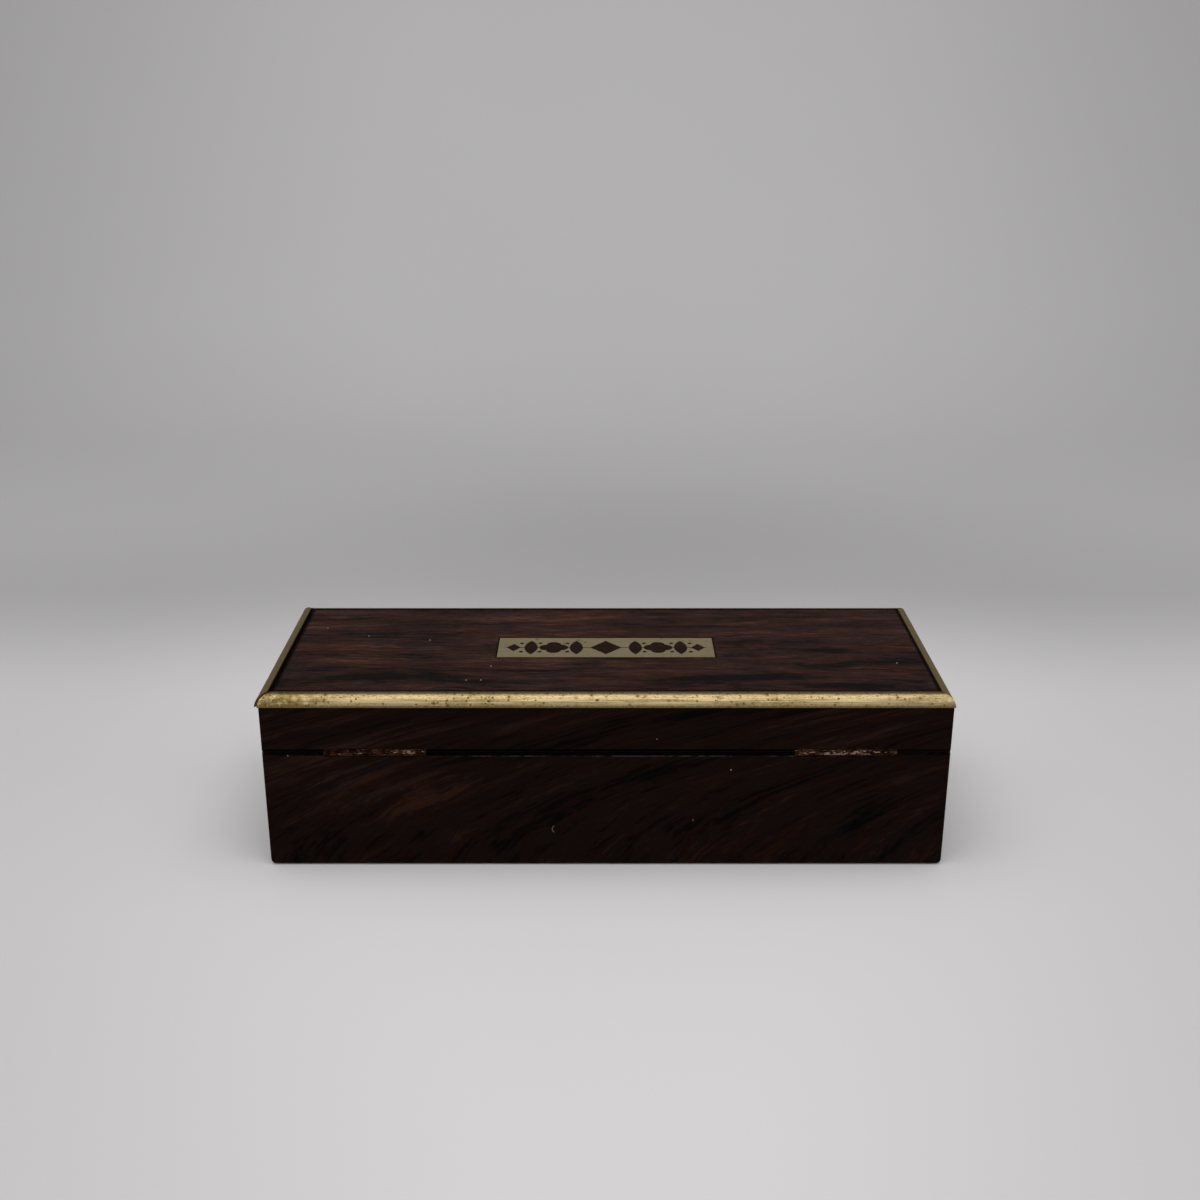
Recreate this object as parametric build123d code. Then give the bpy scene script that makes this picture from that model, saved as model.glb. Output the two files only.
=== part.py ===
from build123d import *
import os
from math import radians, sqrt, tan

# A brass-bound rosewood glove box of about 1870, in millimetres.
#
# The lock side is the front, towards -Y, and the hinges are at the back, towards +Y. +X is to the
# right for someone who faces the front, +Z is up, and the origin is the centre of the underside.
# Left and right in the names are as seen from the front.
#
# The box was glued up as one closed case and then sawn apart at the joint, so the lid and the base
# have the same mitred walls: 7 mm boards, veneered outside with 1 mm sawn rosewood. Quarter-round
# brass beads edge the lid. The lid turns on two butt hinges and stops where the two bevels behind
# the hinge axis meet. A warded box lock holds it shut: a key turns, and its bit carries a sliding
# bolt whose two fingers run through the loops of the link plate in the lid.

# ---- outside sizes ----
box_length = 254.0
box_depth = 95.0
box_height = 69.8
joint_height = 47.1  # the hinge axis, halfway up the gap between the two rims
seat_gap = 0.15  # between the closed rims
corner_round = 0.8  # the four upright corners
end_foot_round = 2.4  # the worn bottom edges of the two ends
long_foot_round = 0.5  # the bottom edges of the front and back

# ---- wood ----
veneer = 1.0
board = 7.0
bottom_board = 5.0
lid_tongue = 3.0  # how far the lid's top board drops between the lid walls
baize = 0.5
baize_inset = 2.0

# ---- brass beads ----
bead_radius = 4.5
bead_proud = 0.35  # past the veneer of the sides
bead_rise = 0.15  # above the veneer of the top
bead_groove = 0.3  # dark line between a bead and the veneer of the top
sprung_out = 0.9  # the right-hand bead has come away from the end by this much
sprung_up = 0.25  # and has lifted off its seat by this much

# ---- inlaid plate ----
plate_length = 84.5
plate_width = 20.0
inlay_gap = 0.08  # glue line round each inlaid piece
hairline = 0.55
lozenge_size = (12.4, 14.0)
leaf_size = (5.2, 14.0)
foil_radius = 2.9
foil_offset = 2.8
small_lozenge_size = (5.6, 7.6)
dot_radius = 0.85
dot_height = 4.4
leaf_places = (11.6, 29.4)
foil_place = 20.5
small_lozenge_place = 36.2
dot_places = (15.1, 25.9, 33.2)
hairline_length = 79.0

# ---- hinges ----
lid_open_angle = 96.0
bevel_slack = 1.0  # the two bevels together open this much further than the lid goes
axis_inset = 1.2  # the axis lies this far inside the back face
hinge_length = 37.5
hinge_end_gap = 21.5  # from the end of the box to the end of a hinge
hinge_shift = -1.5  # the pair was let in a little to the left
knuckle_radius = 1.8
knuckle_count = 5
knuckle_gap = 0.1
knuckle_room = 0.25
hinge_pin_radius = 0.8
pin_clearance = 0.05
hinge_leaf_width = 6.9
hinge_leaf_thickness = 1.0
hinge_screw_pitch = 14.0
hinge_screw_inset = 2.6  # from the leaf's inner edge

# ---- screws and nails: head radius, head depth, shank radius, length ----
hinge_screw = (1.6, 0.8, 0.85, 6.0)
lock_screw = (1.5, 0.75, 0.8, 4.5)
escutcheon_nail = (0.7, 0.4, 0.4, 3.0)
screw_clearance = 0.05
screw_slot_width = 0.45
screw_slot_depth = 0.35

# ---- lock ----
lock_plate_thickness = 1.0
selvedge_thickness = 1.2
lock_ear = 6.0  # plate past the case at each end
lock_foot = 2.6  # plate past the case at the bottom
link_ear = 9.6  # link plate past the middle of each loop
link_screw_place = 6.0  # its screws, from the middle of each loop
lock_depth = 5.0  # case and plate together, let into the front board
case_wall = 0.8
case_side_room = 1.0
case_below_key = 7.0
bolt_throw = 4.8
bolt_thickness = 1.2
bolt_front_room = 1.1
bar_height = 4.2
bar_right = 12.6
loop_spacing = 18.0
loop_thickness = 1.6
loop_width = 2.5
loop_front_room = 0.5
loop_foot = 1.5
loop_room = 0.7
finger_height = 1.4
finger_length = 4.8
finger_gap = 0.6
finger_drop = 3.6
finger_room = 0.25
riser_width = 2.0
stump_radius = 0.8
stump_places = (-7.0, 10.5)
stump_drop = 1.6
stump_room = 0.15
spring_thickness = 0.35
spring_foot = (-8.5, -6.2)
spring_tip_room = 0.35

# ---- key ----
drill_pin_radius = 1.0
drill_pin_length = 4.8
key_rest_angle = -45.0  # the bit, from straight up, towards +X
key_turn = 90.0
key_radius = 1.7
key_end_room = 0.35
key_bore_depth = 8.0
key_neck = 11.0  # shank outside the escutcheon
key_collar = (2.5, 1.3)
bit_reach = 4.0
bit_thickness = 1.2
bit_width = 2.3
bit_room = 2.4  # key axis to the bolt's lower edge
talon_half_width = 1.15
talon_room = 0.25
bow_outer = (7.4, 5.8)
bow_inner = (5.0, 3.5)
bow_thickness = 2.0
keyhole_radius = 2.0
keyhole_slot = 1.8
keyhole_drop = 4.6
escutcheon_size = (11.0, 17.0)
escutcheon_proud = 0.25
escutcheon_drop = 1.2  # its centre below the key axis

# ---- lining ----
lining = 1.5
lining_drop = 2.0  # below the base rim, and above the lid rim
lining_notch_room = 0.4
floor_pad_thickness = 4.0
lid_pad_thickness = 4.5
pad_round = 1.4
soft_gap = 0.3

past = 1.0  # how far a cut runs out past the face it opens

# ---- places worked out from the sizes ----
half_length = box_length / 2
half_depth = box_depth / 2
base_top = joint_height - seat_gap / 2
lid_bottom = joint_height + seat_gap / 2
bead_bottom = box_height - bead_radius
veneer_top = box_height - bead_rise
rebate = bead_radius - bead_proud
axis_y = half_depth - axis_inset
board_face = veneer + board  # inner face of the walls, in from the outside
floor_top = baize + bottom_board
lid_ceiling = bead_bottom - lid_tongue
bevel_angle = (lid_open_angle + bevel_slack) / 2
hinge_reach = half_length - hinge_end_gap - hinge_length / 2
hinge_places = {"left": hinge_shift - hinge_reach, "right": hinge_shift + hinge_reach}

lock_inner = -half_depth + board_face  # inner face of the lock plate
lock_back = lock_inner - lock_plate_thickness
lock_front = lock_inner - lock_depth
case_front = lock_front + case_wall
case_top = base_top - selvedge_thickness
finger_z = case_top - finger_drop
loop_bottom = finger_z - finger_height / 2 - finger_room - loop_foot
bar_top = loop_bottom - loop_room
bar_bottom = bar_top - bar_height
key_z = bar_bottom - bit_room
case_bottom = key_z - case_below_key
plate_bottom = case_bottom - lock_foot
bolt_front = case_front + bolt_front_room
bolt_back = bolt_front + bolt_thickness
loop_front = case_front + loop_front_room
riser_left = -(loop_spacing / 2 + loop_thickness / 2 + finger_gap + finger_length + riser_width)
case_half_width = -riser_left + case_side_room + case_wall
plate_half_width = case_half_width + lock_ear
lock_screw_x = plate_half_width - lock_ear / 2
lock_mid_y = (lock_front + lock_inner) / 2

SIDES = {"front": 0, "right": 90, "back": 180, "left": -90}


# ---- helpers ----
def block(x0, x1, y0, y1, z0, z1):
    """A box between two corners."""
    return Pos((x0 + x1) / 2, (y0 + y1) / 2, (z0 + z1) / 2) * Box(x1 - x0, y1 - y0, z1 - z0)


def rod(radius, y0, y1, x=0.0, z=0.0):
    """A round bar along Y."""
    return Pos(x, (y0 + y1) / 2, z) * Rot(90, 0, 0) * Cylinder(radius, y1 - y0)


def bar_along_x(radius, x0, x1, y=0.0, z=0.0):
    """A round bar along X."""
    return Pos((x0 + x1) / 2, y, z) * Rot(0, 90, 0) * Cylinder(radius, x1 - x0)


def group(solids):
    """Like pieces that share one name."""
    return Compound([solid for piece in solids for solid in piece.solids()])


def seen_from(side, half_x, half_y):
    """Half the run of a side, and half the way across to its opposite."""
    return (half_x, half_y) if side in ("front", "back") else (half_y, half_x)


def wall(side, inset, thickness, z0, z1):
    """One wall of a mitred frame whose outer faces lie inset inside the box's."""
    run, across = seen_from(side, half_length - inset, half_depth - inset)
    outline = Polygon(
        (-run, -across),
        (run, -across),
        (run - thickness, thickness - across),
        (thickness - run, thickness - across),
        align=None,
    )
    return Rot(0, 0, SIDES[side]) * Pos(0, 0, z0) * extrude(outline, z1 - z0)


def rounded_case():
    """The outside of the box with its worn corners and bottom edges, to trim the walls by."""
    corners = Pos(0, 0, baize) * extrude(
        RectangleRounded(box_length, box_depth, corner_round), box_height
    )
    for width, foot, plane in (
        (box_length, end_foot_round, Plane.XZ),
        (box_depth, long_foot_round, Plane.YZ),
    ):
        tall = box_height + 2 * foot
        outline = Pos(0, baize + tall / 2) * RectangleRounded(width, tall, foot)
        corners = corners & extrude(plane * outline, box_length, both=True)
    return corners


def hinge_bevel():
    """The wedge sawn off both back edges behind the hinge axis, where the open lid comes to rest."""
    reach = axis_inset + knuckle_radius
    drop = reach * tan(radians(bevel_angle))
    wedge = Polygon(
        (axis_y, base_top),
        (axis_y + reach, base_top - drop),
        (axis_y + reach, lid_bottom + drop),
        (axis_y, lid_bottom),
        align=None,
    )
    return extrude(Plane.YZ * wedge, box_length, both=True)


def screw(size, room=0.0):
    """A countersunk screw that points down from z = 0, or with room the hole that takes it."""
    head, head_depth, shank, length = size
    outline = Polygon(
        (0, 0),
        (head + room, 0),
        (shank + room, -head_depth),
        (shank + room, -(length - shank)),
        (0, -length - room),
        align=None,
    )
    turned = revolve(Plane.XZ * outline, Axis.Z)
    if room:
        return turned
    return turned - block(
        -2 * head, 2 * head, -screw_slot_width / 2, screw_slot_width / 2, -screw_slot_depth, head
    )


def place_all(piece, places):
    return [place * piece for place in places]


# ---- hinges ----
def knuckle_spans():
    """The stretch along X of each knuckle."""
    length = (hinge_length - (knuckle_count - 1) * knuckle_gap) / knuckle_count
    starts = [-hinge_length / 2 + i * (length + knuckle_gap) for i in range(knuckle_count)]
    return [(start, start + length) for start in starts]


def hinge_screw_spots(x, upside_down):
    """Where the three screws of a leaf stand, and which way up."""
    y = axis_y - hinge_leaf_width + hinge_screw_inset
    z = lid_bottom if upside_down else base_top
    turn = Rot(180 if upside_down else 0, 0, 0)
    return [Pos(x + i * hinge_screw_pitch, y, z) * turn for i in (-1, 0, 1)]


def hinge_leaf(x, on_lid):
    """A butt hinge leaf: a let-in plate, and every other knuckle round the pin."""
    z0, z1 = (
        (lid_bottom, lid_bottom + hinge_leaf_thickness)
        if on_lid
        else (base_top - hinge_leaf_thickness, base_top)
    )
    half = hinge_length / 2
    leaf = block(-half, half, axis_y - hinge_leaf_width, axis_y, z0, z1)
    room = knuckle_radius + knuckle_room
    for i, (start, end) in enumerate(knuckle_spans()):
        if (i % 2 == 1) == on_lid:
            leaf += bar_along_x(knuckle_radius, start, end, axis_y, joint_height)
        else:
            leaf -= block(
                start - knuckle_gap,
                end + knuckle_gap,
                axis_y - room,
                axis_y + room,
                z0 - past,
                z1 + past,
            )
    bore = hinge_pin_radius + pin_clearance
    leaf -= bar_along_x(bore, -hinge_length, hinge_length, axis_y, joint_height)
    leaf = Pos(x, 0, 0) * leaf
    for hole in place_all(screw(hinge_screw, screw_clearance), hinge_screw_spots(x, on_lid)):
        leaf -= hole
    return leaf


def hinge_pin(x):
    half = hinge_length / 2
    return bar_along_x(hinge_pin_radius, x - half, x + half, axis_y, joint_height)


def hinge_mortise(on_lid):
    """What is cut from a back wall for both hinges: knuckle slots, leaf beds and screw holes."""
    cut = []
    half = hinge_length / 2
    z0, z1 = (
        (lid_bottom, lid_bottom + hinge_leaf_thickness)
        if on_lid
        else (base_top - hinge_leaf_thickness, base_top)
    )
    for x in hinge_places.values():
        cut.append(
            bar_along_x(
                knuckle_radius + knuckle_room,
                x - half - knuckle_gap,
                x + half + knuckle_gap,
                axis_y,
                joint_height,
            )
        )
        cut.append(block(x - half, x + half, axis_y - hinge_leaf_width, axis_y, z0, z1))
        cut += place_all(screw(hinge_screw, screw_clearance), hinge_screw_spots(x, on_lid))
    return cut


# ---- lock ----
def keyhole(y0, y1):
    """The round hole and the slot under it, through whatever lies between y0 and y1."""
    slot = block(-keyhole_slot / 2, keyhole_slot / 2, y0, y1, key_z - keyhole_drop, key_z)
    return rod(keyhole_radius, y0, y1, z=key_z) + slot


def selvedge_spots():
    """The two screws down through the rim, and the two through the plate's feet."""
    y, z = lock_mid_y, plate_bottom + lock_foot
    down = [Pos(side * lock_screw_x, y, base_top) for side in (-1, 1)]
    out = [Pos(side * lock_screw_x, lock_inner, z) * Rot(-90, 0, 0) for side in (-1, 1)]
    return down + out


def link_spots():
    """The two screws up into the lid rim, outside the loops."""
    x = loop_spacing / 2 + link_screw_place
    return [Pos(side * x, lock_mid_y, lid_bottom) * Rot(180, 0, 0) for side in (-1, 1)]


def loop_places():
    return [-loop_spacing / 2, loop_spacing / 2]


def lock_plate():
    """The L-shaped plate: a selvedge flush with the rim and a back plate flush with the board."""
    plate = block(-plate_half_width, plate_half_width, lock_back, lock_inner, plate_bottom, base_top)
    plate += block(-plate_half_width, plate_half_width, lock_front, lock_inner, case_top, base_top)
    for x in loop_places():
        half = loop_thickness / 2 + finger_room
        plate -= block(x - half, x + half, case_front, lock_back, case_top - past, base_top + past)
    for hole in place_all(screw(lock_screw, screw_clearance), selvedge_spots()):
        plate -= hole
    return plate


def lock_case():
    """The shallow tray riveted to the plate, with the keyhole in its face."""
    tray = block(
        -case_half_width, case_half_width, lock_front, lock_back, case_bottom - case_wall, case_top
    )
    inside = case_half_width - case_wall
    tray -= block(-inside, inside, case_front, lock_back + past, case_bottom, case_top + past)
    return tray - keyhole(lock_front - past, case_front + past)


def drill_pin():
    """The pin that the hollow key turns on."""
    return rod(drill_pin_radius, lock_back - drill_pin_length, lock_back, z=key_z)


def stumps():
    """Two pins across the case that guide the bolt."""
    z = bar_top - stump_drop
    return group([rod(stump_radius, case_front, lock_back, x=x, z=z) for x in stump_places])


def lock_bolt():
    """The sliding bolt, drawn back: a bar with a talon notch, two guide slots and two fingers."""
    bolt = block(riser_left, bar_right, bolt_front, bolt_back, bar_bottom, bar_top)
    finger_top = finger_z + finger_height / 2
    for x in loop_places():
        tip = x - loop_thickness / 2 - finger_gap
        root = tip - finger_length
        bolt += block(root - riser_width, root, bolt_front, bolt_back, bar_bottom, finger_top)
        bolt += block(root, tip, bolt_front, bolt_back, finger_top - finger_height, finger_top)
    notch = -bolt_throw / 2
    bolt -= block(
        notch - talon_half_width,
        notch + talon_half_width,
        bolt_front - past,
        bolt_back + past,
        bar_bottom - past,
        key_z + bit_reach + talon_room,
    )
    half_slot = stump_radius + stump_room
    z = bar_top - stump_drop
    for x in stump_places:
        bolt -= block(
            x - bolt_throw - half_slot,
            x + half_slot,
            bolt_front - past,
            bolt_back + past,
            z - half_slot,
            z + half_slot,
        )
    return bolt


def lock_spring():
    """The leaf spring on the bolt, a foot and a quarter turn up to the selvedge."""
    radius = case_top - spring_tip_room - bar_top
    x0, x1 = spring_foot
    curl = (Circle(radius) - Circle(radius - spring_thickness)) & (
        Pos(radius / 2, -radius / 2) * Rectangle(radius, radius)
    )
    curl = Pos(x1, bar_top + radius) * curl
    foot = Pos((x0 + x1) / 2, bar_top + spring_thickness / 2) * Rectangle(x1 - x0, spring_thickness)
    strip = extrude(Plane.XZ * (curl + foot), bolt_thickness / 2, both=True)
    return Pos(0, (bolt_front + bolt_back) / 2, 0) * strip


def link_bed():
    """The flat of the link plate, and the bed it lies in."""
    half = loop_spacing / 2 + link_ear
    return block(-half, half, lock_front, lock_inner, lid_bottom, lid_bottom + selvedge_thickness)


def link_plate():
    """The plate in the lid rim and its two loops, which drop through the selvedge."""
    plate = link_bed()
    top = lid_bottom + selvedge_thickness
    room = finger_height / 2 + finger_room
    for x in loop_places():
        x0, x1 = x - loop_thickness / 2, x + loop_thickness / 2
        plate += block(x0, x1, loop_front, loop_front + loop_width, loop_bottom, top)
        plate -= block(
            x0 - past,
            x1 + past,
            bolt_front - finger_room,
            bolt_back + finger_room,
            finger_z - room,
            finger_z + room,
        )
    for hole in place_all(screw(lock_screw, screw_clearance), link_spots()):
        plate -= hole
    return plate


def key():
    """A hollow key: barrel, bit, collar and an oval ring bow in the plane of the bit."""
    inner_end = lock_back - key_end_room
    outer_end = -half_depth - key_neck
    barrel = rod(key_radius, outer_end, inner_end)
    bit_back = bolt_back + (inner_end - bolt_back) / 2
    barrel += block(
        -bit_thickness / 2, bit_thickness / 2, bit_back - bit_width, bit_back, 0, bit_reach
    )
    collar_radius, collar_length = key_collar
    barrel += rod(collar_radius, outer_end, outer_end + collar_length)
    bow = Ellipse(*bow_outer) - Ellipse(*bow_inner)
    bow = extrude(Plane.YZ * Rot(0, 0, 90) * bow, bow_thickness / 2, both=True)
    barrel += Pos(0, outer_end - (bow_outer[1] + bow_inner[1]) / 2, 0) * bow
    bore = drill_pin_radius + pin_clearance
    barrel -= rod(bore, inner_end - key_bore_depth, inner_end + past)
    return Pos(0, 0, key_z) * Rot(0, key_rest_angle, 0) * barrel


def escutcheon():
    """The oval brass plate round the keyhole, let into the veneer."""
    width, height = escutcheon_size
    y0, y1 = -half_depth - escutcheon_proud, -half_depth + veneer
    oval = extrude(Plane.XZ * Ellipse(width / 2, height / 2), (y1 - y0) / 2, both=True)
    return Pos(0, (y0 + y1) / 2, key_z - escutcheon_drop) * oval


def nail_spots():
    z, reach = key_z - escutcheon_drop, escutcheon_size[1] / 2 - 2 * escutcheon_nail[0]
    y = -half_depth - escutcheon_proud
    return [Pos(0, y, z + side * reach) * Rot(90, 0, 0) for side in (-1, 1)]


def lock_recess():
    """What is cut from the front of the base for the lock."""
    cut = [
        block(
            -case_half_width, case_half_width, lock_front, lock_inner, case_bottom - case_wall, base_top
        ),
        block(-plate_half_width, plate_half_width, lock_back, lock_inner, plate_bottom, base_top),
        block(-plate_half_width, plate_half_width, lock_front, lock_inner, case_top, base_top),
        keyhole(-half_depth, lock_front),
    ]
    cut += place_all(screw(lock_screw, screw_clearance), selvedge_spots())
    return cut + place_all(screw(escutcheon_nail, screw_clearance), nail_spots())


# ---- inlay ----
def lozenge(size, grow):
    """A diamond whose four sides are all moved out by grow."""
    a, b = size[0] / 2, size[1] / 2
    slant = sqrt(a * a + b * b)
    a, b = a + grow * slant / b, b + grow * slant / a
    return Polygon((-a, 0), (0, -b), (a, 0), (0, b), align=None)


def pointed_leaf(size, grow):
    """Where two equal circles overlap: an upright leaf of this width and height."""
    width, height = size
    radius = (height * height + width * width) / (4 * width)
    centre = radius - width / 2
    return (Pos(centre, 0) * Circle(radius + grow)) & (Pos(-centre, 0) * Circle(radius + grow))


def quatrefoil(grow):
    """Four round foils about a centre."""
    foils = Circle(foil_radius + grow)
    for x, y in ((1, 0), (-1, 0), (0, 1), (0, -1)):
        foils += Pos(x * foil_offset, y * foil_offset) * Circle(foil_radius + grow)
    return foils


def ornament(grow=0.0):
    """The plate's cut-work: a row of leaves, foils and lozenges strung on a hairline."""
    row = Rectangle(hairline_length + 2 * grow, hairline + 2 * grow) + lozenge(lozenge_size, grow)
    for side in (-1, 1):
        for place in leaf_places:
            row += Pos(side * place, 0) * pointed_leaf(leaf_size, grow)
        row += Pos(side * foil_place, 0) * quatrefoil(grow)
        row += Pos(side * small_lozenge_place, 0) * lozenge(small_lozenge_size, grow)
        for place in dot_places:
            for y in (-dot_height, dot_height):
                row += Pos(side * place, y) * Circle(dot_radius + grow)
    return row


def inlay_plate():
    plate = Rectangle(plate_length, plate_width) - ornament()
    return Pos(0, 0, veneer_top - veneer) * extrude(plate, veneer)


def inlay_wood():
    """The rosewood let into the plate's cut-work."""
    return Pos(0, 0, veneer_top - veneer) * extrude(ornament(-inlay_gap), veneer)


# ---- beads and the lid's top ----
def bead(side):
    """A quarter-round brass moulding, mitred at both ends."""
    run, across = seen_from(side, half_length + bead_proud, half_depth + bead_proud)
    quarter = Circle(bead_radius) & (
        Pos(-bead_radius / 2, bead_radius / 2) * Rectangle(bead_radius, bead_radius)
    )
    profile = Plane.YZ * Pos(bead_radius - across, bead_bottom) * quarter
    mitre = Polygon(
        (-run, -across),
        (run, -across),
        (run - 2 * bead_radius, 2 * bead_radius - across),
        (2 * bead_radius - run, 2 * bead_radius - across),
        align=None,
    )
    bar = extrude(profile, run, both=True) & extrude(mitre, 2 * box_height)
    return Rot(0, 0, SIDES[side]) * bar


def lid_top_board():
    """The top board: planted on the lid walls, with a tongue that drops between them."""
    x, y = half_length - rebate, half_depth - rebate
    inner_x, inner_y = half_length - board_face, half_depth - board_face
    top = block(-x, x, -y, y, bead_bottom, veneer_top - veneer)
    return top + block(-inner_x, inner_x, -inner_y, inner_y, lid_ceiling, bead_bottom)


def lid_top_veneer():
    x, y = half_length - rebate - bead_groove, half_depth - rebate - bead_groove
    sheet = block(-x, x, -y, y, veneer_top - veneer, veneer_top)
    half_x, half_y = plate_length / 2 + inlay_gap, plate_width / 2 + inlay_gap
    return sheet - block(-half_x, half_x, -half_y, half_y, 0, box_height)


# ---- lining ----
def pad(z0, z1, crown_up):
    """A pad in its well, its free edges rounded over."""
    x, y = half_length - board_face - lining - soft_gap, half_depth - board_face - lining - soft_gap
    slab = block(-x, x, -y, y, z0, z1)
    free = slab.faces().sort_by(Axis.Z)[-1 if crown_up else 0]
    return fillet(free.edges(), pad_round)


def base_lining(side):
    panel = wall(side, board_face, lining, floor_top, base_top - lining_drop)
    if side == "front":
        half = plate_half_width + lining_notch_room
        panel -= block(
            -half,
            half,
            lock_inner - past,
            lock_inner + lining + past,
            plate_bottom - lining_notch_room,
            base_top,
        )
    return panel


# ---- the whole box ----
def base_nodes():
    case, bevel = rounded_case(), hinge_bevel()
    recess, mortise = lock_recess(), hinge_mortise(on_lid=False)
    nodes = {}
    for side in SIDES:
        for name, inset, thickness in (("board", veneer, board), ("veneer", 0, veneer)):
            piece = (wall(side, inset, thickness, baize, base_top) & case) - bevel
            for cut in {"front": recess, "back": mortise}.get(side, []):
                piece -= cut
            nodes[f"base_{side}_{name}"] = piece
        nodes[f"base_{side}_lining"] = base_lining(side)
    nodes["base_front_veneer"] -= escutcheon()
    x, y = half_length - board_face, half_depth - board_face
    nodes["base_bottom_board"] = block(-x, x, -y, y, baize, floor_top)
    x, y = half_length - baize_inset, half_depth - baize_inset
    nodes["underside_baize"] = block(-x, x, -y, y, 0, baize)
    nodes["floor_pad"] = pad(floor_top, floor_top + floor_pad_thickness, crown_up=True)
    nodes["lock_plate"] = lock_plate()
    nodes["lock_case"] = lock_case()
    nodes["lock_drill_pin"] = drill_pin()
    nodes["lock_stumps"] = stumps()
    nodes["lock_screws"] = group(place_all(screw(lock_screw), selvedge_spots()))
    plate = escutcheon() - keyhole(-box_depth, 0)
    for hole in place_all(screw(escutcheon_nail, screw_clearance), nail_spots()):
        plate -= hole
    nodes["escutcheon"] = plate
    nodes["escutcheon_nails"] = group(place_all(screw(escutcheon_nail), nail_spots()))
    spots = []
    for name, x in hinge_places.items():
        nodes[f"hinge_base_leaf_{name}"] = hinge_leaf(x, on_lid=False)
        nodes[f"hinge_pin_{name}"] = hinge_pin(x)
        spots += hinge_screw_spots(x, upside_down=False)
    nodes["hinge_base_screws"] = group(place_all(screw(hinge_screw), spots))
    return nodes


def lid_nodes():
    case, bevel, mortise = rounded_case(), hinge_bevel(), hinge_mortise(on_lid=True)
    recess = [link_bed()] + place_all(screw(lock_screw, screw_clearance), link_spots())
    nodes = {}
    for side in SIDES:
        for name, inset, thickness in (("board", veneer, board), ("veneer", 0, veneer)):
            piece = (wall(side, inset, thickness, lid_bottom, bead_bottom) & case) - bevel
            for cut in {"front": recess, "back": mortise}.get(side, []):
                piece -= cut
            nodes[f"lid_{side}_{name}"] = piece
        nodes[f"lid_{side}_lining"] = wall(
            side, board_face, lining, lid_bottom + lining_drop, lid_ceiling
        )
        nodes[f"bead_{side}"] = bead(side)
    nodes["bead_right"] = Pos(sprung_out, 0, sprung_up) * nodes["bead_right"]
    nodes["lid_top_board"] = lid_top_board()
    nodes["lid_top_veneer"] = lid_top_veneer()
    nodes["inlay_plate"] = inlay_plate()
    nodes["inlay_wood"] = inlay_wood()
    nodes["lid_pad"] = pad(lid_ceiling - lid_pad_thickness, lid_ceiling, crown_up=False)
    nodes["link_plate"] = link_plate()
    nodes["link_plate_screws"] = group(place_all(screw(lock_screw), link_spots()))
    spots = []
    for name, x in hinge_places.items():
        nodes[f"hinge_lid_leaf_{name}"] = hinge_leaf(x, on_lid=True)
        spots += hinge_screw_spots(x, upside_down=True)
    nodes["hinge_lid_screws"] = group(place_all(screw(hinge_screw), spots))
    return nodes


def main():
    nodes = {**base_nodes(), **lid_nodes()}
    nodes["lock_bolt"] = lock_bolt()
    nodes["lock_spring"] = lock_spring()
    nodes["key"] = key()
    os.makedirs("parts", exist_ok=True)
    for name, piece in nodes.items():
        export_step(piece, f"parts/{name}.step")
    print(len(nodes), "nodes; key axis at z", round(key_z, 3), "hinge axis at y", round(axis_y, 3))


main()
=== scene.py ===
"""Dresses the rosewood glove box: stage, veneers, brass, hinges, lock, silk and baize.

Every place is in metres in the box's own frame. +X is right seen from the lock side, +Y is the
hinge side, which faces the camera, and +Z is up. Finishes count in millimetres.
"""

import math

import bmesh
import bpy
import numpy as np
from bpy.props import FloatProperty, FloatVectorProperty, IntProperty, PointerProperty
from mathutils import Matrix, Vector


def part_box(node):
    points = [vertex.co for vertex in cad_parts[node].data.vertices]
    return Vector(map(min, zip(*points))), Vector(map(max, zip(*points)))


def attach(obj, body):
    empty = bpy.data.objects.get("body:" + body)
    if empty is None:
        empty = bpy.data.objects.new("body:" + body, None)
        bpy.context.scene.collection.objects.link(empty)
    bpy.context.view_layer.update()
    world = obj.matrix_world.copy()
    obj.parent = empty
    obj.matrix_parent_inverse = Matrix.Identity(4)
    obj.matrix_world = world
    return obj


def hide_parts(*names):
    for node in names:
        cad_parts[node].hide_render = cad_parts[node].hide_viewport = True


bl_info = {
    "name": "Rosewood glove box",
    "version": (1, 0, 0),
    "blender": (4, 5, 0),
    "location": "View3D > Sidebar > Glove box",
    "description": "Dresses a brass-bound rosewood glove box",
    "category": "Object",
}

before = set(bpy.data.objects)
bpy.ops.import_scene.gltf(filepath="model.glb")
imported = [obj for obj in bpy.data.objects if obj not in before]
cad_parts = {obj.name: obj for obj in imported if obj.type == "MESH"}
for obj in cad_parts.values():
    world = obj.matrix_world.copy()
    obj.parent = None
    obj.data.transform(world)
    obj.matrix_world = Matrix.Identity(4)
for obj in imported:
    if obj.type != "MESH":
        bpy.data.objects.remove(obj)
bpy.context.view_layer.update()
MM = 0.001

# Points nearer than this are one, in metres.
WELD = 0.02 * MM
# In millimetres: the heights of the joint and of the lid's top, and how far back the back lies.
JOINT, TOP, BACK = 47.1, 69.65, 47.5
# Black for dirt and for painted shade in grooves and joints.
DIRT_AND_SHADE_BLACK = (0.0012, 0.0009, 0.0007)


# ---- sizes and colours


def length_prop(name, description, default):
    return FloatProperty(
        name=name, description=description, default=default, unit="LENGTH", precision=5
    )


def colour_prop(name, description, default):
    return FloatVectorProperty(
        name=name, description=description, default=default, size=3, subtype="COLOR", min=0, max=1
    )


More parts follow.
